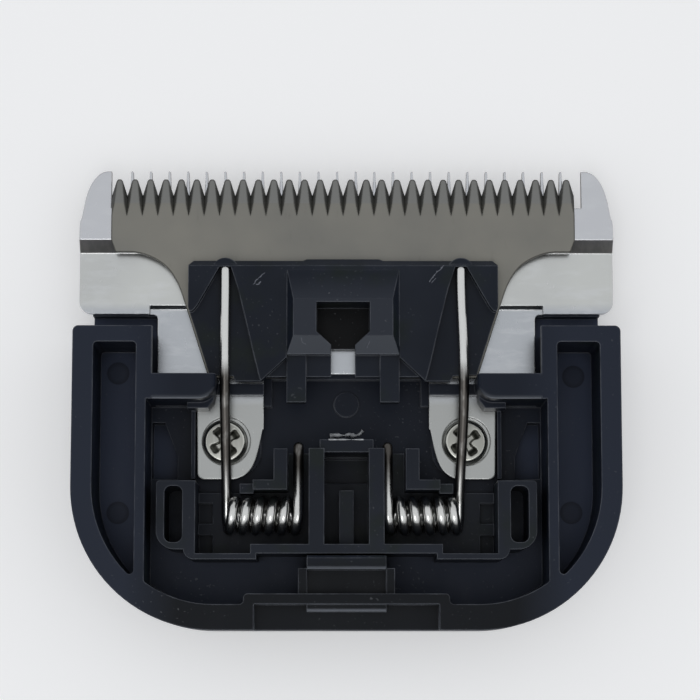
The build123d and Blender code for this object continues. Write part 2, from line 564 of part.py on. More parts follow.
def coil_line(start_x):
    """Arcs of one coil from its underside: each half turn is a half circle that leans along the axis, and a short
    arc at either end turns into the leg."""
    lean = COIL_PITCH / 2
    reach = math.hypot(COIL_MEAN_R, lean / 2)
    arcs = [ThreePointArc(coil_point(start_x, -LONG_LEG_SLOPE), coil_point(start_x, -LONG_LEG_SLOPE / 2),
                          coil_point(start_x, 0))]
    for half_turn in range(COIL_HALF_TURNS):
        side = -1 if half_turn % 2 == 0 else 1
        x = start_x + lean * half_turn
        arcs.append(ThreePointArc((x, COIL_Y, COIL_Z + side * COIL_MEAN_R),
                                  (x + lean / 2, COIL_Y + side * reach, COIL_Z),
                                  (x + lean, COIL_Y, COIL_Z - side * COIL_MEAN_R)))
    end_x = start_x + lean * COIL_HALF_TURNS
    arcs.append(ThreePointArc(coil_point(end_x, 180), coil_point(end_x, 180 + SHORT_LEG_SLOPE / 2),
                              coil_point(end_x, 180 + SHORT_LEG_SLOPE)))
    return arcs


def spring(side):
    """Torsion spring: the long leg falls from the drive block's groove to the coil's underside, the turns run
    inward, and the short leg leaves the coil's top and dips to its tip."""
    start_x = -COIL_START_X - side * REST_SHIFT
    arcs = coil_line(start_x)
    low = arcs[0] @ 0
    top = arcs[-1] @ 1
    lift_y = low.Y + (WIRE_TOP_Z - low.Z) / math.tan(math.radians(LONG_LEG_SLOPE))
    tip = Vector(-GROOVE_X - side * REST_SHIFT, LONG_LEG_TIP_Y, WIRE_TOP_Z)
    long_leg = FilletPolyline(tip, (start_x, lift_y, WIRE_TOP_Z), low, radius=4)
    reach = SHORT_LEG_TIP_Y - top.Y
    short_leg = Line(top, (top.X, SHORT_LEG_TIP_Y, top.Z - reach * math.tan(math.radians(SHORT_LEG_SLOPE))))
    start = Plane(origin=long_leg @ 0, z_dir=long_leg % 0)
    section = start * RegularPolygon(WIRE_D / 2, WIRE_SIDES, major_radius=True)
    wire = sweep(section, path=Wire([*long_leg.edges(), *arcs, short_leg]))
    return wire if side < 0 else mirror(wire, Plane.YZ)


def screw(side):
    """Pan head screw with a cross recess, driven into the housing through the blade's tab."""
    seat = LEG_Z - HEAD_RECESS_DEPTH
    head = Cylinder(HEAD_D / 2, HEAD_HEIGHT, align=(Align.CENTER, Align.CENTER, Align.MIN))
    head = chamfer(head.edges().sort_by(Axis.Z)[-1:], 0.35, 0.7)
    shank = Cylinder(SHANK_D / 2, SHANK_LENGTH, align=(Align.CENTER, Align.CENTER, Align.MAX))
    cross_z = HEAD_HEIGHT - CROSS_DEPTH / 2
    cross = Box(CROSS_LENGTH, CROSS_WIDTH, CROSS_DEPTH) + Box(CROSS_WIDTH, CROSS_LENGTH, CROSS_DEPTH)
    cross = Pos(0, 0, cross_z) * Rot(0, 0, CROSS_TURN) * cross
    return Pos(side * SCREW_X, SCREW_Y, seat) * (head + shank - cross)


def carrier_side():
    """One side of the spring carrier: trough, ear, rib and the hook that keeps the coil down."""
    low = BAY_FLOOR_Z
    top = CARRIER_TOP_Z
    wall = CARRIER_WALL
    floor = block(0, TROUGH_OUTER_X, TROUGH_REAR_Y, FOOT_REAR_Y, low, TROUGH_FLOOR_Z)
    floor += block(TROUGH_STEP_X, TROUGH_OUTER_X, TROUGH_DEEP_REAR_Y, TROUGH_REAR_Y, low, TROUGH_FLOOR_Z)
    floor += block(0, POST_OUTER_X, FOOT_REAR_Y, RIB_FRONT_Y, low, TROUGH_FLOOR_Z)
    core_x = TROUGH_OUTER_X - 1.25
    for y0, y1 in ((-10.9, -9.1), (TROUGH_DEEP_REAR_Y + 0.1, -11.9)):
        floor -= block(core_x, TROUGH_OUTER_X, y0, y1, low + 0.2, RIM_Z)
    walls = block(TROUGH_OUTER_X, TROUGH_OUTER_X + 2 * wall, TROUGH_DEEP_REAR_Y - wall, EAR_FRONT_Y, low, top)
    walls = fillet(walls.edges().filter_by(Axis.Z).group_by(Axis.X)[-1].sort_by(Axis.Y)[:1], 2 * wall - 0.1)
    walls += block(TROUGH_STEP_X, TROUGH_OUTER_X, TROUGH_DEEP_REAR_Y - wall, TROUGH_DEEP_REAR_Y, low, top)
    walls += block(TROUGH_STEP_X - wall, TROUGH_STEP_X, TROUGH_DEEP_REAR_Y - wall, TROUGH_REAR_Y, low, top)
    walls += block(0, TROUGH_STEP_X, BAR_REAR_Y, TROUGH_REAR_Y, low, top)
    ear = block(TROUGH_OUTER_X, EAR_OUTER_X, EAR_REAR_Y, EAR_FRONT_Y, low, top)
    outer_edges = ear.edges().filter_by(Axis.Z).group_by(Axis.X)[-1].sort_by(Axis.Y)
    ear = fillet(outer_edges[:1], 1.6)
    ear = fillet(ear.edges().filter_by(Axis.Z).group_by(Axis.X)[-1].sort_by(Axis.Y)[-1:], 0.3)
    hole_x = (EAR_HOLE_INNER_X + EAR_HOLE_OUTER_X) / 2
    hole_y = (EAR_HOLE_FRONT_Y + EAR_HOLE_REAR_Y) / 2
    oval = RectangleRounded(EAR_HOLE_OUTER_X - EAR_HOLE_INNER_X, EAR_HOLE_FRONT_Y - EAR_HOLE_REAR_Y, EAR_HOLE_R)
    ear -= extrude(Pos(hole_x, hole_y, low) * oval, RIM_Z)
    rib = block(RIB_INNER_X, RIB_OUTER_X, BAR_REAR_Y, RIB_FRONT_Y, low, top)
    post = block(POST_INNER_X, POST_OUTER_X, FOOT_REAR_Y, POST_FRONT_Y, low, POST_TOP_Z)
    foot = block(POST_INNER_X, FOOT_OUTER_X, FOOT_REAR_Y, FOOT_FRONT_Y, low, POST_TOP_Z)
    step = block(FOOT_OUTER_X, FOOT_OUTER_X + 1.2, FOOT_REAR_Y - 0.2, FOOT_FRONT_Y - 0.2, low, FOOT_STEP_Z)
    return floor + walls + ear + rib + post + foot + step


def spring_carrier():
    """Inner moulding that holds both coils, with the slotted guide between them."""
    body = both_sides(carrier_side())
    guide = Pos(0, (TROUGH_REAR_Y + 0.45 + RIB_FRONT_Y - 0.5) / 2) * Rectangle(
        2 * RIB_INNER_X, RIB_FRONT_Y - 0.5 - TROUGH_REAR_Y - 0.45)
    guide = fillet(guide.vertices().sort_by(Axis.Y)[:2], 0.35)
    body -= extrude(Pos(0, 0, GUIDE_FLOOR_Z) * guide, RIM_Z)
    body -= block(-RIB_INNER_X, RIB_INNER_X, GUIDE_FLOOR_FRONT_Y, RIB_FRONT_Y - 0.5, BAY_FLOOR_Z + 0.1, RIM_Z)
    bridge_half = RIB_INNER_X + 0.4
    bridge = block(-bridge_half, bridge_half, RIB_FRONT_Y - 0.3, BRIDGE_FRONT_Y, BAY_FLOOR_Z, CARRIER_TOP_Z - 0.6)
    centre_rib = block(-CENTRE_RIB_HALF, CENTRE_RIB_HALF, TROUGH_REAR_Y, CENTRE_RIB_FRONT_Y, BAY_FLOOR_Z, CENTRE_RIB_Z)
    return body + bridge + centre_rib


def all_parts():
    """Every sub-part in its place."""
    return {
        "housing": housing(),
        "fixed_blade": fixed_blade(),
        "moving_blade": moving_blade(),
        "drive_block": drive_block(),
        "spring_left": spring(-1),
        "spring_right": spring(1),
        "screw_left": screw(-1),
        "screw_right": screw(1),
        "spring_carrier": spring_carrier(),
    }


os.makedirs("parts", exist_ok=True)
for name, shape in all_parts().items():
    export_step(shape, f"parts/{name}.step")
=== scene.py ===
import math

import bpy
import numpy as np
from mathutils import Matrix, Vector


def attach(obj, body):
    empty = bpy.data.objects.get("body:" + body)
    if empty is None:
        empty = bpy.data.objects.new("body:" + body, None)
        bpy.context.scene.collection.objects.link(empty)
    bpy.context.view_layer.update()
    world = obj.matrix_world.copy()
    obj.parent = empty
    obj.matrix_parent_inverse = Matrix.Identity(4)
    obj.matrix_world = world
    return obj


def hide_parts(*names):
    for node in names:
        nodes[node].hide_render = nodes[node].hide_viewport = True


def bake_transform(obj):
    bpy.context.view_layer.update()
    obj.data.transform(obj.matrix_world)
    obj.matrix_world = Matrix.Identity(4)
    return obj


# Blade block of a hair clipper, seen from its open inner side.
# Sizes below are in millimetres of the row frame unless a name says otherwise.
# Colours are linear red, green and blue.
MM = 0.001

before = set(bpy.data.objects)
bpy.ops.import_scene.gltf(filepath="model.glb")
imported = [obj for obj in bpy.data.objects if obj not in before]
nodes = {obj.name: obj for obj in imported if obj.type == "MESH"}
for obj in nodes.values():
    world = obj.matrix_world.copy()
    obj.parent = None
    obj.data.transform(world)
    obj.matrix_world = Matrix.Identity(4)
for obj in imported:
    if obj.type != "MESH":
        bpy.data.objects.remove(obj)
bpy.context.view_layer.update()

# Coils and legs of the two torsion springs
WIRE_R = 0.45
WIRE_SIDES = 20
WIRE_GROOVE_Z = 6.6
COIL_R = 1.3
COIL_Y = -10.33
COIL_Z = 5.0
COIL_PITCH = 1.13
COIL_HALF_TURNS = 11
STEPS_IN_HALF_TURN = 15
COIL_START_X = 10.2
LAST_TURN_SPREAD = 0.1
SPRING_TIP_Y = 11.35
LONG_LEG_SLOPE = math.radians(13.6)
LONG_LEG_STEPS = 90
BEND_SOFTNESS = 0.3
SHORT_LEG_SLOPE = math.radians(8)
SHORT_LEG_STEPS = 30
GROOVE_X = 10.33
CUTTER_SHIFT = -0.3
SHORT_LEG_Y = -3.9
LEG_BOW = {-1: 0.06, 1: 0.3}

# Darkening of the springs, partly old oil and partly painted shade on the legs and painted shade on the coil:
# where it sets in and is full along Y, and its share where the wire is half clean
OIL_AND_SHADE = "oil_and_shade"
COIL_FRONT = (-8.8, -9.2)
LONG_LEG_DARK = (3.4, 1.6)
LONG_LEG_PALER = (-5.0, -8.0)
LONG_LEG_PALING = 0.45
SHORT_LEG_DARK = (-9.2, -6.0)
COIL_REAR_SHADE = 0.3
FLANK_SHADE = 0.5

# Where the coil's painted shade sets in across the wire: how far to the coil's rear, and how far its surface
# turns sideways
COIL_REAR = (0.2, 0.45)
TURN_GAP = (0.72, 0.95)
FLANK = (0.62, 0.95)

# Screws: head, shank and the worn cross recess
SCREW_X = 10.58
SCREW_Y = -3.65
SCREW_SEAT_Z = 3.45
HEAD_R = 2.0
HEAD_SHIFT = 0.1
HEAD_H = 1.0
DOME_DROP = 0.12
SHOULDER_START = 0.8
SHOULDER_DROP = 0.55
SHOULDER_POWER = 2.2
SHANK_R = 1.0
SHANK_LENGTH = 2.4
CROSS_TURN = math.radians(35)
CROSS_HALF = 0.3
CROSS_REACH = 1.4
CROSS_DEPTH = 0.7
CROSS_WALL = 0.12
CROSS_END = 0.6
CROSS_WEAR = 0.22
CROSS_WEAR_WAVES = 5.5
CROSS_WEAR_PHASE = 1.3

# Rings of the screw head's grid as shares of its radius, close together over the recess, and its spokes
RECESS_RINGS = np.linspace(0.02, 0.62, 30)
OUTER_RINGS = np.linspace(0.65, 1.0, 16)
HEAD_SPOKES = 96

# Moulding marks on the side pockets' floors
MARK_R = 0.95
POCKET_MARKS = [
    (-20.3, 2.54, MARK_R),
    (-20.19, -9.87, MARK_R),
    (20.22, 2.27, MARK_R),
    (19.89, -9.86, MARK_R),
]

# Scratches on the drive block, from one point to another
SCRATCH_WIDTH = 0.05
BLOCK_SCRATCHES = [
    (-7.95, 10.1, -6.95, 11.05),
    (-7.6, 10.0, -7.25, 10.35),
    (7.5, 10.4, 8.75, 11.75),
    (7.75, 10.3, 8.05, 10.6),
    (-3.75, 5.1, -3.35, 4.7),
    (2.3, 4.95, 2.05, 4.4),
]

# Strings of grease in front of the spring carrier
GREASE_STEPS = 160
GREASE_SMOOTHING = 13
GREASE_SIDES = 12
GREASE_END_R = 0.01
FLOOR_GREASE_R = 0.15
FLOOR_GREASE = [
    (-1.5, -3.05, 2.45),
    (-0.9, -3.0, 2.45),
    (-0.2, -3.02, 2.45),
    (0.3, -2.92, 2.45),
    (0.7, -3.05, 2.45),
    (1.15, -2.95, 2.45),
    (1.5, -2.55, 2.45),
]
BRIDGE_GREASE_R = 0.06
BRIDGE_GREASE = [
    (-1.6, -3.92, 7.98),
    (-0.6, -3.92, 7.98),
    (0.4, -3.92, 7.98),
    (1.5, -3.92, 7.98),
]

# Fineness of each pattern, in waves a metre
GRAIN_WAVES = 9000
SMEAR_WAVES = 420
SPECK_WAVES = 3600
DUST_PATCH_WAVES = 180
CLOUD_WAVES = 90
OIL_PATCH_WAVES = 210
RUBBED_PATCH_WAVES = 700
GROUND_LINE_WAVES = 6000
POLISH_WAVES = 130
SCUFF_WAVES = 1500
STREAK_WAVES = 260
BLOTCH_WAVES = 2500
DARKENING_WAVES = 1400
BLOOM_WAVES = 2200
WANDER_WAVES = 2600
WANDER_REACH = 0.5

# Roughness of each finish
TRAY_ROUGHNESS = 0.42
CARRIER_ROUGHNESS = 0.4
BLOCK_ROUGHNESS = 0.38
SPRING_ROUGHNESS = 0.22
SCREW_ROUGHNESS = 0.26
DARKENING_ROUGHENING = 0.12
SMEAR_POLISH = 0.12
FLOOR_ROUGHNESS = 0.7

# Darker and paler tone between which each moulding varies
TRAY_TONES = ((0.0085, 0.012, 0.0225), (0.016, 0.021, 0.036))
CARRIER_TONES = ((0.009, 0.012, 0.02), (0.017, 0.021, 0.031))
BLOCK_TONES = ((0.006, 0.009, 0.0165), (0.0165, 0.021, 0.032))

# What lies on the plastic and its marks, its edges painted pale as painted highlight with some wear, and the
# painted shade of its recesses
OILY_TONE = (0.0125, 0.018, 0.0155)
DUST_AND_GLINT_TONE = (0.25, 0.26, 0.28)
EDGE_HIGHLIGHT_AND_WEAR = (0.15, 0.16, 0.185)
REAR_EDGE_HIGHLIGHT = (0.11, 0.12, 0.14)
REAR_FILLET_HIGHLIGHT = (0.32, 0.34, 0.38)
RECESS_SHADE_TONE = (0.002, 0.0026, 0.004)
MOULD_MARK_TONE = (0.012, 0.016, 0.03)
SCRATCH_TONE = (0.16, 0.17, 0.2)
RECESS_SHADE_REACH = 1.6
PLASTIC_SPECULAR = 0.16

# Painted light and shade on faces that look up: an axis, where each tint sets in, where it is full, and its
# colour
SIDE_POCKET_LIGHT = (0.02, 0.026, 0.043)
# Painted shade on the rear floors, a middle tone ahead of the coils, and painted light that makes the deep
# floors and the side pockets paler and bluer
TRAY_TINTS = [
    ("Y", -12.5, -15.5, (0.004, 0.0055, 0.0085)),
    ("Z", 3.0, 2.6, (0.026, 0.034, 0.058)),
    ("Y", -11.5, -10.3, (0.01, 0.014, 0.025)),
    ("X", -14.5, -19, SIDE_POCKET_LIGHT),
    ("X", 14.5, 19, SIDE_POCKET_LIGHT),
    ("Z", 2.36, 2.26, (0.045, 0.058, 0.1)),
]
# Painted shade on the drive block's low faces in its slot, and painted light on its high faces that look up
BLOCK_TINTS = [
    ("Z", 6.2, 5.4, (0.0012, 0.0016, 0.003)),
    ("Z", 7.2, 8.1, (0.032, 0.037, 0.05)),
]

# Edges' radii of each finish
TRAY_EDGE = 0.18
MOULDING_EDGE = 0.16
PLATE_EDGE = 0.16
CUTTER_EDGE = 0.24

# Tones of the fixed blade, and where they change along Y
PLATE_TONES = ((0.77, 0.78, 0.76), (0.7, 0.71, 0.7))
EAR_TONE = (0.74, 0.75, 0.8)
EAR_START = (13.6, 14.2)
LEG_TONE = (0.6, 0.625, 0.66)
LEG_START = (8.6, 7.8)
TAB_TONE = (0.5, 0.51, 0.5)
TAB_START = (0.5, -0.5)
STREAK_TONE = (0.86, 0.87, 0.9)
STEP_SHADE_TONES = ((0.05, 0.042, 0.04), (0.13, 0.112, 0.105))
STEP_START = (12.4, 12.8)
PLATE_RIM_HIGHLIGHT = (0.97, 0.97, 0.97)

# Tones of the cutter, its painted shade along edges and slopes, and the line where the bevel towards its tips
# begins
CUTTER_TONES = ((0.28, 0.27, 0.24), (0.235, 0.23, 0.21))
CUTTER_BEVEL_TONE = (0.26, 0.26, 0.25)
CUTTER_SHADE_LINE = (0.025, 0.025, 0.02)
BEVEL_Y = 17.34
BEVEL_BLUR = 0.04

# Clean tones of the springs and the screws, and their dark tone for old oil and painted shade
SPRING_TONES = ((0.92, 0.92, 0.9), (0.11, 0.102, 0.094))
SCREW_TONES = ((0.78, 0.78, 0.72), (0.1, 0.1, 0.09))

# Tones of the grease, pale to paint its glints as painted highlight
GREASE_GLINT_TONES = ((0.3, 0.31, 0.33), (0.5, 0.52, 0.55))

# Viewpoint of the photograph
FOCAL_PX = 2436.0
IMAGE_PX = 700
SENSOR_WIDTH = 36.0
CAMERA_DISTANCE = 210.0
CAMERA_TILT = math.radians(7.6)
CAMERA_SIDE = math.radians(0.3)
CAMERA_TARGET = (0.29, 3.70, 9.4)

# Brightness of the studio's surround, and the soft box beside the camera
SKY_LEVEL = 0.62
HORIZON_LEVEL = 0.42
FRONT_LEVEL = 0.8
REAR_LEVEL = 0.28
SKY_TONE = (0.96, 0.98, 1.0)
SOFT_BOX_PLACE = (-30, -135, 430)
SOFT_BOX_SIZE = (200, 160)
SOFT_BOX_WATTS = 0.2

# Floor: half its width, its tone, and the share of white that it shows by itself
FLOOR_HALF = 4000
FLOOR_TONE = (0.86, 0.86, 0.87)
FLOOR_GLOW = 0.3


def mesh_piece(name, points, faces, smooth=True):
    """Mesh object from an array of points in millimetres and a list of faces."""
    mesh = bpy.data.meshes.new(name)
    mesh.from_pydata((np.asarray(points) * MM).tolist(), [], faces)
    mesh.validate()
    mesh.update()
    mesh.polygons.foreach_set("use_smooth", [smooth] * len(mesh.polygons))
    piece = bpy.data.objects.new(name, mesh)
    bpy.context.scene.collection.objects.link(piece)
    return piece


def grid_faces(rows, columns):
    """Quads between neighbouring rows and columns of a grid of points whose last column meets the first."""
    row = np.arange(rows - 1)[:, None]
    column = np.arange(columns)[None, :]
    beside = (column + 1) % columns
    corners = [
        row * columns + column,
        row * columns + beside,
        (row + 1) * columns + beside,
        (row + 1) * columns + column,
    ]
    return np.stack(corners, axis=-1).reshape(-1, 4).tolist()


def swept_tube(name, path, normal, radius, sides):
    """Round wire: each point is the path's point plus the radius times the cosine of the angle along the
    normal and the sine along the binormal, which is the tangent crossed with the normal. The radius may
    change along the path."""
    tangent = np.gradient(path, axis=0)
    tangent /= np.linalg.norm(tangent, axis=1, keepdims=True)
    normal = normal - np.sum(normal * tangent, axis=1, keepdims=True) * tangent
    normal /= np.linalg.norm(normal, axis=1, keepdims=True)
    binormal = np.cross(tangent, normal)
    angle = np.linspace(0, 2 * np.pi, sides, endpoint=False)
    reach = np.broadcast_to(np.asarray(radius, float), (len(path),))[:, None, None]
    cosine = np.cos(angle)[None, :, None]
    sine = np.sin(angle)[None, :, None]
    ring = cosine * normal[:, None, :] + sine * binormal[:, None, :]
    points = (path[:, None, :] + reach * ring).reshape(-1, 3)
    faces = grid_faces(len(path), sides)
    last = (len(path) - 1) * sides
    faces.append(list(range(sides)))
    faces.append([last + index for index in reversed(range(sides))])
    return mesh_piece(name, points, faces)


def round_ends(path, normal, radius):
    """Path, normals and radii with a half ball added at each end: the ball's points lie a sine of the angle
    ahead and its radius falls as the cosine."""
    turn = np.linspace(0, 0.48 * np.pi, 8)[1:]
    balls = []
    for end, inner in ((0, 1), (-1, -2)):
        ahead = (path[end] - path[inner]) / np.linalg.norm(path[end] - path[inner])
        balls.append(path[end] + radius * np.sin(turn)[:, None] * ahead)
    slim = radius * np.cos(turn)
    radii = np.concatenate([slim[::-1], np.full(len(path), radius), slim])
    first = np.repeat(normal[:1], len(turn), 0)
    last = np.repeat(normal[-1:], len(turn), 0)
    normals = np.concatenate([first, normal, last])
    return np.concatenate([balls[0][::-1], path, balls[1]]), normals, radii


def soft_step(value, start, full):
    """Zero on one side of a start, one past the place where it is full, and a smooth rise between them."""
    share = np.clip((value - start) / (full - start), 0, 1)
    return share * share * (3 - 2 * share)


def write_oil_and_shade(piece, values):
    """Amount of darkening at each vertex, old oil and painted shade, from 0 where the steel is clean to 1,
    which its finish reads.
    """
    layer = piece.data.attributes.new(OIL_AND_SHADE, "FLOAT", "POINT")
    layer.data.foreach_set("value", values.ravel())


def spring_oil_and_shade(piece, path, near_long_leg):
    """Darkening of a spring: partly old oil and partly painted shade along the lower half of the long leg and
    towards the tip of the short leg, and painted shade between the turns of the coil, on the coil's rear side
    and thinly along both flanks."""
    points = np.empty(3 * len(piece.data.vertices))
    piece.data.vertices.foreach_get("co", points)
    points = points.reshape(len(path), -1, 3) / MM
    away = points - path[:, None, :]
    away /= np.linalg.norm(away, axis=2, keepdims=True)
    sideways = np.abs(away[:, :, 0])
    y = path[:, 1]
    on_coil = soft_step(y, *COIL_FRONT)
    thinning = 1 - LONG_LEG_PALING * soft_step(y, *LONG_LEG_PALER)
    long_leg = soft_step(y, *LONG_LEG_DARK) * thinning * (1 - on_coil) * near_long_leg
    short_leg = soft_step(y, *SHORT_LEG_DARK) * ~near_long_leg
    # Painted shade: the coil darkens on its rear side, between its turns and along both flanks, where the
    # wire's surface turns away from the light.
    rearward = (COIL_Y - points[:, :, 1]) / (COIL_R + WIRE_R)
    rear = COIL_REAR_SHADE * soft_step(rearward, *COIL_REAR)
    between = soft_step(sideways, *TURN_GAP)
    coil = on_coil[:, None] * np.maximum(rear, between)
    flanks = FLANK_SHADE * soft_step(sideways, *FLANK)
    legs = np.maximum(long_leg, short_leg)[:, None]
    write_oil_and_shade(piece, np.maximum(np.maximum(coil, flanks), legs))


def spring(side, name, node):
    """Torsion spring. The coil is a helix about X whose angle runs from the underside over the rear, a little
    wider in its last half turn. The long leg is the coil's tangent ahead of its underside, bent level by a
    soft corner: its height is the groove's less the slope times half of u plus the root of u squared plus a
    constant, with u the way past the bend. It bows sideways as the square of a sine. The short leg is the
    tangent past the top."""
    tip_x = GROOVE_X + side * CUTTER_SHIFT
    start_x = COIL_START_X + side * CUTTER_SHIFT
    low_y = COIL_Y + COIL_R * math.sin(LONG_LEG_SLOPE)
    low_z = COIL_Z - COIL_R * math.cos(LONG_LEG_SLOPE)
    bend_y = low_y + (WIRE_GROOVE_Z - low_z) / math.tan(LONG_LEG_SLOPE)
    share = np.linspace(0, 1, LONG_LEG_STEPS)[:-1]
    front_y = SPRING_TIP_Y - 0.5 * WIRE_R
    leg_y = front_y + (low_y - front_y) * share
    past = bend_y - leg_y
    fall = 0.5 * (past + np.sqrt(past ** 2 + BEND_SOFTNESS))
    leg_z = WIRE_GROOVE_Z - math.tan(LONG_LEG_SLOPE) * fall
    leg_x = tip_x + (start_x - tip_x) * share + LEG_BOW[side] * np.sin(np.pi * share) ** 2
    long_leg = np.stack([-leg_x, leg_y, leg_z], axis=1)

    last = math.pi * COIL_HALF_TURNS
    angle = np.linspace(-LONG_LEG_SLOPE, last + SHORT_LEG_SLOPE, STEPS_IN_HALF_TURN * COIL_HALF_TURNS)
    turned = np.clip(angle, 0, last)
    spread = LAST_TURN_SPREAD * np.clip((turned - last + math.pi) / math.pi, 0, 1)
    coil_x = -start_x + COIL_PITCH * turned / (2 * np.pi) + spread
    coil = np.stack([coil_x, COIL_Y - COIL_R * np.sin(angle), COIL_Z - COIL_R * np.cos(angle)], axis=1)

    coil_end_x, coil_end_y, coil_end_z = coil[-1]
    ahead = np.linspace(0, SHORT_LEG_Y - WIRE_R - coil_end_y, SHORT_LEG_STEPS)[1:]
    short_z = coil_end_z - math.tan(SHORT_LEG_SLOPE) * ahead
    short_leg = np.stack([np.full_like(ahead, coil_end_x), coil_end_y + ahead, short_z], axis=1)

    path = np.concatenate([long_leg, coil, short_leg])
    down = np.tile([0.0, 0.0, -1.0], (len(long_leg), 1))
    radial = np.stack([np.zeros_like(angle), -np.sin(angle), -np.cos(angle)], axis=1)
    up = np.tile([0.0, 0.0, 1.0], (len(short_leg), 1))
    if side > 0:
        path[:, 0] *= -1
    path, normal, radius = round_ends(path, np.concatenate([down, radial, up]), WIRE_R)
    piece = swept_tube(name, path, normal, radius, WIRE_SIDES)
    near_long_leg = np.arange(len(path)) < len(long_leg) + len(coil) // 2
    spring_oil_and_shade(piece, path, near_long_leg)
    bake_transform(piece)
    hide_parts(node)
    return piece


def cross_bar(along, across):
    """Depth of one bar of the cross recess, from 0 to 1: full inside its half width and reach, with sloped
    walls and ends. Wear makes the half width uneven, as a sine along the bar."""
    worn_half = CROSS_HALF * (1 + CROSS_WEAR * np.sin(CROSS_WEAR_WAVES * along + CROSS_WEAR_PHASE))
    side_wall = np.clip((worn_half - np.abs(across)) / CROSS_WALL + 0.5, 0, 1)
    end_wall = np.clip((CROSS_REACH - np.abs(along)) / CROSS_END, 0, 1)
    return side_wall * end_wall


def screw(side, name, node):
    """Pan head screw. The head is a polar grid whose height is a dome less the depth of a cross recess, the
    deeper of two bars at a right angle. The dome falls as the square of the radius, and as a power of the
    way past its shoulder. The shank is plain."""
    radii = np.concatenate([RECESS_RINGS, OUTER_RINGS]) * HEAD_R
    angle = np.linspace(0, 2 * np.pi, HEAD_SPOKES, endpoint=False)
    radius, turn = np.meshgrid(radii, angle, indexing="ij")
    x = radius * np.cos(turn)
    y = radius * np.sin(turn)
    share = radius / HEAD_R
    past_shoulder = np.clip((share - SHOULDER_START) / (1 - SHOULDER_START), 0, 1)
    dome = HEAD_H - DOME_DROP * share ** 2 - SHOULDER_DROP * past_shoulder ** SHOULDER_POWER
    along = x * math.cos(CROSS_TURN) + y * math.sin(CROSS_TURN)
    across = y * math.cos(CROSS_TURN) - x * math.sin(CROSS_TURN)
    recess = np.maximum(cross_bar(along, across), cross_bar(across, along))
    top = np.stack([x, y, dome - CROSS_DEPTH * recess], axis=-1)
    skirt = np.stack([x[-1], y[-1], np.zeros_like(x[-1])], axis=-1)
    neck = skirt * [SHANK_R / HEAD_R, SHANK_R / HEAD_R, 1]
    foot = neck - [0, 0, SHANK_LENGTH]
    rows = np.concatenate([top, skirt[None], neck[None], foot[None]])
    centre = [side * SCREW_X - HEAD_SHIFT, SCREW_Y - HEAD_SHIFT, SCREW_SEAT_Z]
    columns = rows.shape[1]
    last = (rows.shape[0] - 1) * columns
    faces = grid_faces(rows.shape[0], columns)
    faces.append(list(reversed(range(columns))))
    faces.append([last + index for index in range(columns)])
    faces = [list(reversed(face)) for face in faces]
    piece = mesh_piece(name, rows.reshape(-1, 3) + centre, faces)

    # Painted shade on the head: darker recess walls, a half-dark face and a dark border, so that the shoulder
    # between them reads as a painted highlight ring.
    recess_walls_shade = soft_step(recess, 0.1, 0.5) * (1 - 0.55 * soft_step(recess, 0.75, 1))
    face = 0.5 * (share < SHOULDER_START)
    border = soft_step(share, 0.9, 0.99)
    oil_and_shade = np.zeros(rows.shape[:2])
    oil_and_shade[:len(recess)] = np.maximum(recess_walls_shade, np.maximum(face, border))
    write_oil_and_shade(piece, oil_and_shade)
    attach(piece, "tray")
    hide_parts(node)
    return piece


def grease_string(name, points, thickness):
    """String of grease: a line through chosen points, smoothed by a running mean, whose radius swells and
    thins as the sum of two sines."""
    chosen = np.array(points)
    share = np.linspace(0, len(chosen) - 1, GREASE_STEPS)
    window = np.ones(GREASE_SMOOTHING) / GREASE_SMOOTHING
    line = []
    for axis in range(3):
        straight = np.interp(share, np.arange(len(chosen)), chosen[:, axis])
        line.append(np.convolve(np.pad(straight, GREASE_SMOOTHING // 2, "edge"), window, "valid"))
    line = np.stack(line, axis=1)
    radius = thickness * (1 + 0.4 * np.sin(2.3 * share) + 0.25 * np.sin(5.1 * share + 1))
    radius[[0, -1]] = GREASE_END_R
    up = np.tile([0.0, 0.0, 1.0], (len(line), 1))
    piece = swept_tube(name, line, up, radius, GREASE_SIDES)
    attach(piece, "tray")
    return piece


def noise_in(tree, vector, scale, detail=2.0, roughness=0.5, stretch=None):
    """Noise texture read at a scale in waves a metre, with an optional stretch along the axes."""
    noise = tree.nodes.new("ShaderNodeTexNoise")
    noise.inputs["Scale"].default_value = scale
    noise.inputs["Detail"].default_value = detail
    noise.inputs["Roughness"].default_value = roughness
    source = vector
    if stretch:
        mapping = tree.nodes.new("ShaderNodeMapping")
        mapping.inputs["Scale"].default_value = stretch
        tree.links.new(vector, mapping.inputs["Vector"])
        source = mapping.outputs["Vector"]
    tree.links.new(source, noise.inputs["Vector"])
    return noise.outputs["Fac"]


def ranged(tree, value, low, high, to_low, to_high):
    """Value carried linearly from one range to another and held at its ends."""
    node = tree.nodes.new("ShaderNodeMapRange")
    node.inputs["From Min"].default_value = low
    node.inputs["From Max"].default_value = high
    node.inputs["To Min"].default_value = to_low
    node.inputs["To Max"].default_value = to_high
    tree.links.new(value, node.inputs["Value"])
    return node.outputs["Result"]


def setting_in(tree, coordinate, places, share=1):
    """Share from 0 to its full value between two places in millimetres along an axis."""
    return ranged(tree, coordinate, places[0] * MM, places[1] * MM, 0, share)


def combined(tree, operation, first, second):
    """Math node on two values, each a socket or a number."""
    node = tree.nodes.new("ShaderNodeMath")
    node.operation = operation
    for socket, value in zip(node.inputs, (first, second)):
        if isinstance(value, (int, float)):
            socket.default_value = value
        else:
            tree.links.new(value, socket)
    return node.outputs[0]


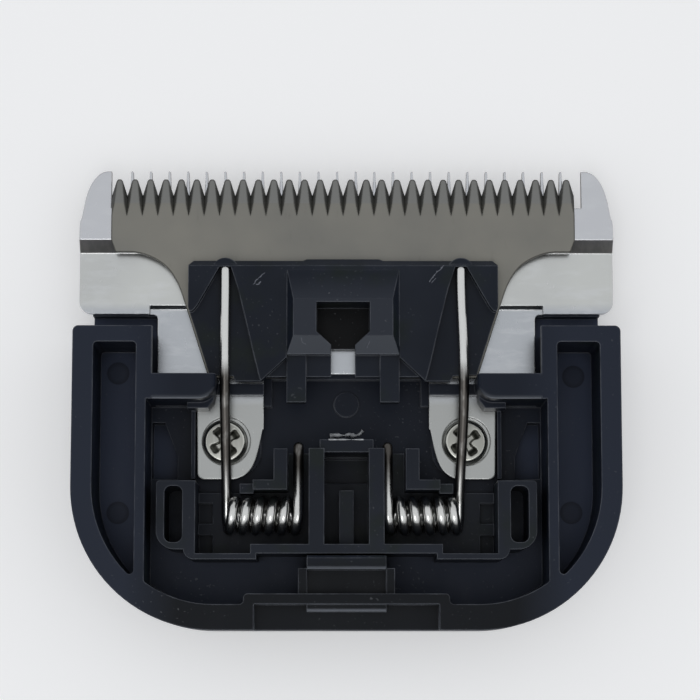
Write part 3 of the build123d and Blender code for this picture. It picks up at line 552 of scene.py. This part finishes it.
def vector_step(tree, operation, first, second=(0, 0, 0)):
    """Vector Math node on two vectors, each a socket or a triple."""
    node = tree.nodes.new("ShaderNodeVectorMath")
    node.operation = operation
    for socket, value in zip(node.inputs, (first, second)):
        if isinstance(value, tuple):
            socket.default_value = value
        else:
            tree.links.new(value, socket)
    return node.outputs["Value" if operation in ("DOT_PRODUCT", "LENGTH") else "Vector"]


def mixed(tree, factor, first, second):
    """Colour between two colours, each a socket or an RGB triple."""
    node = tree.nodes.new("ShaderNodeMix")
    node.data_type = "RGBA"
    sockets = [socket for socket in node.inputs if socket.type == "RGBA"]
    tree.links.new(factor, node.inputs[0])
    for socket, value in zip(sockets, (first, second)):
        if isinstance(value, tuple):
            socket.default_value = (*value, 1)
        else:
            tree.links.new(value, socket)
    return [socket for socket in node.outputs if socket.type == "RGBA"][0]


def split(tree, vector):
    """X, Y and Z of a vector, as sockets of those names."""
    node = tree.nodes.new("ShaderNodeSeparateXYZ")
    tree.links.new(vector, node.inputs[0])
    return node.outputs


def facing(tree):
    """X, Y and Z of the face's own normal."""
    return split(tree, tree.nodes.new("ShaderNodeNewGeometry").outputs["Normal"])


def shader_group(name, inputs, outputs):
    """Empty node group with the given sockets, and its input and output nodes."""
    group = bpy.data.node_groups.new(name, "ShaderNodeTree")
    for label, kind, value in inputs:
        socket = group.interface.new_socket(label, in_out="INPUT", socket_type=kind)
        if value is not None:
            socket.default_value = value
    for label, kind in outputs:
        group.interface.new_socket(label, in_out="OUTPUT", socket_type=kind)
    return group, group.nodes.new("NodeGroupInput"), group.nodes.new("NodeGroupOutput")


def moulded_group():
    """Moulded plastic: fine grain as a height, a mask of oily smears, a mask of pale specks in patches, which
    are dust and painted glints, and a cloud for its uneven tone."""
    group, source, result = shader_group(
        "moulded plastic",
        [("Vector", "NodeSocketVector", None)],
        [
            ("Grain", "NodeSocketFloat"),
            ("Smear", "NodeSocketFloat"),
            ("Dust and glints", "NodeSocketFloat"),
            ("Cloud", "NodeSocketFloat"),
        ],
    )
    vector = source.outputs["Vector"]
    group.links.new(noise_in(group, vector, GRAIN_WAVES, 3), result.inputs["Grain"])
    smear = noise_in(group, vector, SMEAR_WAVES, 4, 0.6, (1.0, 0.5, 1.0))
    group.links.new(ranged(group, smear, 0.5, 0.72, 0, 1), result.inputs["Smear"])
    specks = ranged(group, noise_in(group, vector, SPECK_WAVES, 1, 0.4), 0.7, 0.76, 0, 1)
    patches = ranged(group, noise_in(group, vector, DUST_PATCH_WAVES, 2), 0.45, 0.7, 0, 1)
    group.links.new(combined(group, "MULTIPLY", specks, patches), result.inputs["Dust and glints"])
    group.links.new(noise_in(group, vector, CLOUD_WAVES, 3), result.inputs["Cloud"])
    return group


def ground_group():
    """Ground steel: fine lines along X as a height, a soft cloud of uneven polish and a mask of scuffs."""
    group, source, result = shader_group(
        "ground steel",
        [("Vector", "NodeSocketVector", None)],
        [
            ("Lines", "NodeSocketFloat"),
            ("Cloud", "NodeSocketFloat"),
            ("Scuff", "NodeSocketFloat"),
        ],
    )
    vector = source.outputs["Vector"]
    lines = noise_in(group, vector, GROUND_LINE_WAVES, 3, 0.6, (0.04, 1.0, 1.0))
    group.links.new(lines, result.inputs["Lines"])
    group.links.new(noise_in(group, vector, POLISH_WAVES, 3), result.inputs["Cloud"])
    scuff = noise_in(group, vector, SCUFF_WAVES, 4, 0.7, (1.0, 0.35, 1.0))
    group.links.new(ranged(group, scuff, 0.6, 0.72, 0, 1), result.inputs["Scuff"])
    return group


def edge_group():
    """Softly rounded edges: a normal averaged over a small radius, and a mask of where it turns away from the
    flat face's own, which the finishes use for wear and for painted highlights and shade along edges."""
    group, source, result = shader_group(
        "rounded edges",
        [("Radius", "NodeSocketFloat", 0.1 * MM)],
        [("Normal", "NodeSocketVector"), ("Edge", "NodeSocketFloat")],
    )
    bevel = group.nodes.new("ShaderNodeBevel")
    bevel.samples = 6
    group.links.new(source.outputs["Radius"], bevel.inputs["Radius"])
    face = group.nodes.new("ShaderNodeNewGeometry").outputs["Normal"]
    likeness = vector_step(group, "DOT_PRODUCT", bevel.outputs["Normal"], face)
    group.links.new(ranged(group, likeness, 0.99, 0.86, 0, 1), result.inputs["Edge"])
    group.links.new(bevel.outputs["Normal"], result.inputs["Normal"])
    return group


def scratch_group():
    """Scratch between two points seen from above: the distance from the nearest point of the segment, on a
    slightly wandering place, turned into a mask of the given width."""
    group, source, result = shader_group(
        "scratch",
        [
            ("Vector", "NodeSocketVector", None),
            ("From", "NodeSocketVector", (0, 0, 0)),
            ("To", "NodeSocketVector", (0, 0, 0)),
            ("Width", "NodeSocketFloat", SCRATCH_WIDTH * MM),
        ],
        [("Mask", "NodeSocketFloat")],
    )
    wander = group.nodes.new("ShaderNodeTexNoise")
    wander.inputs["Scale"].default_value = WANDER_WAVES
    group.links.new(source.outputs["Vector"], wander.inputs["Vector"])
    reach = (WANDER_REACH * MM, WANDER_REACH * MM, 0)
    offset = vector_step(group, "MULTIPLY", wander.outputs["Color"], reach)
    flat = vector_step(group, "MULTIPLY", source.outputs["Vector"], (1, 1, 0))
    place = vector_step(group, "ADD", flat, offset)
    from_start = vector_step(group, "SUBTRACT", place, source.outputs["From"])
    segment = vector_step(group, "SUBTRACT", source.outputs["To"], source.outputs["From"])
    reached = vector_step(group, "DOT_PRODUCT", from_start, segment)
    whole = vector_step(group, "DOT_PRODUCT", segment, segment)
    share = combined(group, "DIVIDE", reached, whole)
    share = combined(group, "MINIMUM", combined(group, "MAXIMUM", share, 0), 1)
    nearest = vector_step(group, "MULTIPLY", segment, share)
    away = vector_step(group, "LENGTH", vector_step(group, "SUBTRACT", from_start, nearest))
    outside = combined(group, "DIVIDE", away, source.outputs["Width"])
    group.links.new(ranged(group, outside, 0.5, 1, 1, 0), result.inputs["Mask"])
    return group


def disc_group():
    """Round moulding mark seen from above: a disc about a centre, strongest at its rim."""
    group, source, result = shader_group(
        "round mark",
        [
            ("Vector", "NodeSocketVector", None),
            ("Centre", "NodeSocketVector", (0, 0, 0)),
            ("Radius", "NodeSocketFloat", MARK_R * MM),
        ],
        [("Mask", "NodeSocketFloat")],
    )
    flat = vector_step(group, "MULTIPLY", source.outputs["Vector"], (1, 1, 0))
    away = vector_step(group, "LENGTH", vector_step(group, "SUBTRACT", flat, source.outputs["Centre"]))
    share = combined(group, "DIVIDE", away, source.outputs["Radius"])
    inside = ranged(group, share, 1, 1.1, 1, 0)
    strength = ranged(group, share, 0.6, 1, 0.5, 0.85)
    group.links.new(combined(group, "MULTIPLY", inside, strength), result.inputs["Mask"])
    return group


MOULDED = moulded_group()
GROUND = ground_group()
EDGES = edge_group()
SCRATCH = scratch_group()
DISC = disc_group()


def new_material(name):
    """Material with its node tree and its Principled shader."""
    material = bpy.data.materials.new(name)
    material.use_nodes = True
    tree = material.node_tree
    return material, tree, tree.nodes["Principled BSDF"]


def object_place(tree):
    """Place on the piece, in object coordinates."""
    return tree.nodes.new("ShaderNodeTexCoord").outputs["Object"]


def placed(tree, group, place):
    """Node group read at a place."""
    node = tree.nodes.new("ShaderNodeGroup")
    node.node_tree = group
    tree.links.new(place, node.inputs["Vector"])
    return node


def add_bump(tree, shader, height, strength, distance, normal=None):
    """Bump from a height socket on the shader's normal, with its depth in millimetres."""
    bump = tree.nodes.new("ShaderNodeBump")
    bump.inputs["Strength"].default_value = strength
    bump.inputs["Distance"].default_value = distance * MM
    tree.links.new(height, bump.inputs["Height"])
    if normal:
        tree.links.new(normal, bump.inputs["Normal"])
    tree.links.new(bump.outputs["Normal"], shader.inputs["Normal"])


def add_edges(tree, radius):
    """Normal and mask of the rounded edges at a radius in millimetres."""
    edges = tree.nodes.new("ShaderNodeGroup")
    edges.node_tree = EDGES
    edges.inputs["Radius"].default_value = radius * MM
    return edges.outputs["Normal"], edges.outputs["Edge"]


def marked(tree, place, base, marks, colour):
    """Base colour with marks mixed in: scratches given by two points, and discs by a point and a radius."""
    for mark in marks:
        if len(mark) == 4:
            node = placed(tree, SCRATCH, place)
            node.inputs["From"].default_value = (mark[0] * MM, mark[1] * MM, 0)
            node.inputs["To"].default_value = (mark[2] * MM, mark[3] * MM, 0)
            node.inputs["Width"].default_value = SCRATCH_WIDTH * MM
        else:
            node = placed(tree, DISC, place)
            node.inputs["Centre"].default_value = (mark[0] * MM, mark[1] * MM, 0)
            node.inputs["Radius"].default_value = mark[2] * MM
        base = mixed(tree, node.outputs["Mask"], base, colour)
    return base


def plastic(name, tones, roughness, radius, tints=(), marks=(), mark_tone=MOULD_MARK_TONE):
    """Black moulded plastic with a blue cast: a cloudy tone, patches of oil, a little dust with painted
    glints, edges painted pale as painted highlight, broken in patches like wear and most of all where they
    lean to the rear, and painted shade where little light reaches. Each tint is painted light or shade on the
    faces that look up."""
    material, tree, shader = new_material(name)
    place = object_place(tree)
    normal, edge = add_edges(tree, radius)
    moulded = placed(tree, MOULDED, place).outputs
    base = mixed(tree, ranged(tree, moulded["Cloud"], 0.3, 0.7, 0, 1), *tones)
    oily = ranged(tree, noise_in(tree, place, OIL_PATCH_WAVES, 3, 0.55), 0.5, 0.66, 0, 0.7)
    base = mixed(tree, oily, base, OILY_TONE)

    coordinate = split(tree, place)
    # The tints below are painted light and shade, laid only on faces that look up.
    level = ranged(tree, facing(tree)["Z"], 0.6, 0.95, 0, 1)
    for axis, start, full, tint in tints:
        share = setting_in(tree, coordinate[axis], (start, full))
        base = mixed(tree, combined(tree, "MULTIPLY", level, share), base, tint)
    # Pale specks in patches: dust, and painted glints.
    base = mixed(tree, combined(tree, "MULTIPLY", moulded["Dust and glints"], 0.28), base, DUST_AND_GLINT_TONE)

    # Painted highlight: edges painted pale, broken in patches like wear, and paler still where they lean to
    # the rear.
    broken = ranged(tree, noise_in(tree, place, RUBBED_PATCH_WAVES, 2), 0.35, 0.6, 0.35, 0.95)
    worn_and_lit = mixed(tree, combined(tree, "MULTIPLY", edge, broken), base, EDGE_HIGHLIGHT_AND_WEAR)
    lean = split(tree, normal)
    upward = ranged(tree, lean["Z"], 0.15, 0.4, 0, 1)
    rearward = combined(tree, "MULTIPLY", ranged(tree, lean["Y"], -0.2, -0.6, 0, 0.8), upward)
    worn_and_lit = mixed(tree, rearward, worn_and_lit, REAR_EDGE_HIGHLIGHT)
    rear_fillet_lit = combined(tree, "MULTIPLY", ranged(tree, lean["Y"], -0.66, -0.85, 0, 0.9), upward)
    worn_and_lit = mixed(tree, rear_fillet_lit, worn_and_lit, REAR_FILLET_HIGHLIGHT)

    # Painted shade: an occlusion mask darkens the plastic where little light reaches, and dulls it.
    shade = tree.nodes.new("ShaderNodeAmbientOcclusion")
    shade.samples = 8
    shade.inputs["Distance"].default_value = RECESS_SHADE_REACH * MM
    painted_recess_shade = ranged(tree, shade.outputs["AO"], 0.2, 0.6, 0.6, 0)
    recess_shaded = mixed(tree, painted_recess_shade, worn_and_lit, RECESS_SHADE_TONE)
    tree.links.new(marked(tree, place, recess_shaded, marks, mark_tone), shader.inputs["Base Color"])

    smeared = ranged(tree, moulded["Smear"], 0, 1, roughness, roughness - SMEAR_POLISH)
    polished = combined(tree, "SUBTRACT", smeared, combined(tree, "MULTIPLY", edge, 0.1))
    dulled = combined(tree, "MAXIMUM", polished, combined(tree, "MULTIPLY", painted_recess_shade, 0.9))
    tree.links.new(dulled, shader.inputs["Roughness"])
    shader.inputs["Specular IOR Level"].default_value = PLASTIC_SPECULAR
    add_bump(tree, shader, moulded["Grain"], 0.2, 0.02, normal)
    return material


def plate_steel_finish(name):
    """Ground sheet steel with rims that look up painted bright as painted highlight. The ears are bluer than
    the lower plane, the legs greyer and the tabs under the screws greyer still. The step across the ears is
    painted dark, blotchy brown where it slopes, as painted shade, and is dull."""
    material, tree, shader = new_material(name)
    place = object_place(tree)
    normal, edge = add_edges(tree, PLATE_EDGE)
    ground = placed(tree, GROUND, place).outputs
    y = split(tree, place)["Y"]
    base = mixed(tree, ranged(tree, ground["Cloud"], 0.35, 0.65, 0, 1), *PLATE_TONES)
    base = mixed(tree, setting_in(tree, y, EAR_START, 0.8), base, EAR_TONE)
    base = mixed(tree, setting_in(tree, y, LEG_START), base, LEG_TONE)
    streak = noise_in(tree, place, STREAK_WAVES, 4, 0.6, (1.0, 3.0, 1.0))
    base = mixed(tree, ranged(tree, streak, 0.5, 0.7, 0, 0.35), base, STREAK_TONE)
    base = mixed(tree, setting_in(tree, y, TAB_START), base, TAB_TONE)

    upward = facing(tree)["Z"]
    slope = ranged(tree, upward, 0.9, 0.7, 0, 1)
    # Painted shade: the sloped step across the ears is painted dark, blotchy brown.
    step = combined(tree, "MULTIPLY", slope, setting_in(tree, y, STEP_START))
    blotch = noise_in(tree, place, BLOTCH_WAVES, 3, 0.6, (1.0, 0.4, 0.4))
    brown_shade = mixed(tree, ranged(tree, blotch, 0.35, 0.65, 0, 1), *STEP_SHADE_TONES)
    base = mixed(tree, step, base, brown_shade)
    # Painted highlight: rims that look up are painted near white.
    rim_highlight = combined(tree, "MULTIPLY", edge, ranged(tree, upward, 0.9, 0.98, 0, 1))
    tree.links.new(mixed(tree, rim_highlight, base, PLATE_RIM_HIGHLIGHT), shader.inputs["Base Color"])

    scuffed = ranged(tree, ground["Scuff"], 0, 1, 0.24, 0.3)
    dulled = combined(tree, "ADD", scuffed, combined(tree, "MULTIPLY", step, 0.3))
    tree.links.new(dulled, shader.inputs["Roughness"])
    shader.inputs["Metallic"].default_value = 1.0
    add_bump(tree, shader, ground["Lines"], 0.15, 0.01, normal)
    return material


def cutter_steel_finish(name):
    """Matte ground cutter with painted shade as dark outlines on its edges and sloped faces. The bevel
    towards the tips is ground finer and reads darker.
    """
    material, tree, shader = new_material(name)
    place = object_place(tree)
    normal, edge = add_edges(tree, CUTTER_EDGE)
    ground = placed(tree, GROUND, place).outputs
    flat = mixed(tree, ranged(tree, ground["Cloud"], 0.35, 0.65, 0, 1), *CUTTER_TONES)
    bevel_start = (BEVEL_Y - BEVEL_BLUR, BEVEL_Y + BEVEL_BLUR)
    bevel = setting_in(tree, split(tree, place)["Y"], bevel_start)
    base = mixed(tree, bevel, flat, CUTTER_BEVEL_TONE)
    # Painted shade: edges and sloped faces are painted dark.
    slope = ranged(tree, facing(tree)["Z"], 0.95, 0.8, 0, 0.6)
    shade_lined = mixed(tree, combined(tree, "MAXIMUM", edge, slope), base, CUTTER_SHADE_LINE)
    tree.links.new(shade_lined, shader.inputs["Base Color"])
    tree.links.new(ranged(tree, ground["Scuff"], 0, 1, 0.48, 0.6), shader.inputs["Roughness"])
    shader.inputs["Metallic"].default_value = 0.7
    add_bump(tree, shader, ground["Lines"], 0.4, 0.01, normal)
    return material


def oiled_and_shaded_steel_finish(name, tones, roughness):
    """Steel of the springs and screws: bright where it is clean and brown where the piece's own darkening
    says, which is old oil in places and painted shade in others, with fine lines."""
    material, tree, shader = new_material(name)
    place = object_place(tree)
    oil_and_shade = tree.nodes.new("ShaderNodeAttribute")
    oil_and_shade.attribute_name = OIL_AND_SHADE
    patchy = noise_in(tree, place, DARKENING_WAVES, 3, 0.6, (1.0, 0.3, 1.0))
    darkening = combined(tree, "MULTIPLY", oil_and_shade.outputs["Fac"], ranged(tree, patchy, 0.25, 0.5, 0.75, 1))
    tree.links.new(mixed(tree, darkening, *tones), shader.inputs["Base Color"])
    dulled = ranged(tree, darkening, 0, 1, roughness, roughness + DARKENING_ROUGHENING)
    tree.links.new(dulled, shader.inputs["Roughness"])
    shader.inputs["Metallic"].default_value = 1.0
    add_bump(tree, shader, placed(tree, GROUND, place).outputs["Lines"], 0.08, 0.01)
    return material


def grease_finish(name):
    """Wet grey grease, painted pale as a painted highlight of its glints, with a paler bloom in patches."""
    material, tree, shader = new_material(name)
    bloom = ranged(tree, noise_in(tree, object_place(tree), BLOOM_WAVES, 3), 0.42, 0.6, 0, 1)
    tree.links.new(mixed(tree, bloom, *GREASE_GLINT_TONES), shader.inputs["Base Color"])
    tree.links.new(ranged(tree, bloom, 0, 1, 0.08, 0.2), shader.inputs["Roughness"])
    shader.inputs["Coat Weight"].default_value = 1
    shader.inputs["Coat Roughness"].default_value = 0.05
    return material


def dress(piece, material):
    """Gives a piece one material and no other."""
    piece.data.materials.clear()
    piece.data.materials.append(material)


def build_stage():
    """Pale floor under the block. It glows a little for the camera and in reflections, so that it reads as
    white without more light on the block."""
    corners = [(-1, -1, 0), (1, -1, 0), (1, 1, 0), (-1, 1, 0)]
    floor = mesh_piece("floor", np.array(corners) * FLOOR_HALF, [[0, 1, 2, 3]], smooth=False)
    material, tree, shader = new_material("pale floor")
    shader.inputs["Base Color"].default_value = (*FLOOR_TONE, 1)
    shader.inputs["Roughness"].default_value = FLOOR_ROUGHNESS
    shader.inputs["Emission Color"].default_value = (1, 1, 1, 1)
    seen = tree.nodes.new("ShaderNodeLightPath").outputs
    rays = combined(tree, "MAXIMUM", seen["Is Camera Ray"], seen["Is Glossy Ray"])
    rays = combined(tree, "MAXIMUM", rays, seen["Is Transmission Ray"])
    tree.links.new(combined(tree, "MULTIPLY", rays, FLOOR_GLOW), shader.inputs["Emission Strength"])
    dress(floor, material)


def build_light():
    """Soft studio light: a surround that is bright overhead and to both sides, calmer in front and dark low
    at the rear, and a soft box beside the camera that faces the block."""
    world = bpy.data.worlds.new("studio")
    bpy.context.scene.world = world
    world.use_nodes = True
    tree = world.node_tree
    background = tree.nodes["Background"]
    direction = split(tree, tree.nodes.new("ShaderNodeTexCoord").outputs["Generated"])
    sky = ranged(tree, direction["Z"], 0.0, 0.3, HORIZON_LEVEL, SKY_LEVEL)
    rear = ranged(tree, direction["Y"], -0.62, -0.8, 1, REAR_LEVEL)
    front = ranged(tree, direction["Y"], 0.45, 0.75, 1, FRONT_LEVEL)
    level = combined(tree, "MULTIPLY", combined(tree, "MULTIPLY", sky, rear), front)
    tree.links.new(level, background.inputs["Strength"])
    background.inputs["Color"].default_value = (*SKY_TONE, 1)

    lamp = bpy.data.lights.new("soft box", "AREA")
    lamp.shape = "RECTANGLE"
    lamp.size = SOFT_BOX_SIZE[0] * MM
    lamp.size_y = SOFT_BOX_SIZE[1] * MM
    lamp.energy = SOFT_BOX_WATTS
    holder = bpy.data.objects.new("soft box", lamp)
    bpy.context.scene.collection.objects.link(holder)
    holder.location = Vector(SOFT_BOX_PLACE) * MM
    holder.rotation_euler = (-Vector(SOFT_BOX_PLACE)).to_track_quat("-Z", "Y").to_euler()


def build_camera():
    """Camera at the photograph's viewpoint: above the block and a little towards its rear."""
    camera = bpy.data.cameras.new("view")
    camera.sensor_width = SENSOR_WIDTH
    camera.lens = SENSOR_WIDTH * FOCAL_PX / IMAGE_PX
    camera.clip_start = 0.01
    camera.clip_end = 10
    holder = bpy.data.objects.new("view", camera)
    bpy.context.scene.collection.objects.link(holder)
    back_x = -math.sin(CAMERA_SIDE)
    back_y = -math.sin(CAMERA_TILT) * math.cos(CAMERA_SIDE)
    back_z = math.cos(CAMERA_TILT) * math.cos(CAMERA_SIDE)
    back = Vector((back_x, back_y, back_z)).normalized()
    right = Vector((0, 1, 0)).cross(back).normalized()
    turned = Matrix((right, back.cross(right), back)).transposed()
    holder.location = (Vector(CAMERA_TARGET) + CAMERA_DISTANCE * back) * MM
    holder.rotation_euler = turned.to_euler()
    bpy.context.scene.camera = holder


def build_block():
    """The nine pieces with their finishes, and the strings of grease."""
    grey_grease = grease_finish("grease")
    dress(grease_string("floor_grease", FLOOR_GREASE, FLOOR_GREASE_R), grey_grease)
    dress(grease_string("bridge_grease", BRIDGE_GREASE, BRIDGE_GREASE_R), grey_grease)

    tray = plastic("tray plastic", TRAY_TONES, TRAY_ROUGHNESS, TRAY_EDGE, TRAY_TINTS, POCKET_MARKS)
    carrier = plastic("carrier plastic", CARRIER_TONES, CARRIER_ROUGHNESS, MOULDING_EDGE)
    block = plastic("drive block plastic", BLOCK_TONES, BLOCK_ROUGHNESS, MOULDING_EDGE, BLOCK_TINTS,
                    BLOCK_SCRATCHES, SCRATCH_TONE)
    dress(nodes["housing"], tray)
    dress(nodes["spring_carrier"], carrier)
    dress(nodes["drive_block"], block)
    dress(nodes["fixed_blade"], plate_steel_finish("plate steel"))
    dress(nodes["moving_blade"], cutter_steel_finish("cutter steel"))

    spring_steel = oiled_and_shaded_steel_finish("spring steel", SPRING_TONES, SPRING_ROUGHNESS)
    screw_steel = oiled_and_shaded_steel_finish("screw steel", SCREW_TONES, SCREW_ROUGHNESS)
    for side, word in ((-1, "left"), (1, "right")):
        dress(spring(side, f"coiled_spring_{word}", f"spring_{word}"), spring_steel)
        dress(screw(side, f"pan_head_{word}", f"screw_{word}"), screw_steel)


build_stage()
build_light()
build_camera()
build_block()

bpy.context.scene.view_settings.view_transform = "Standard"
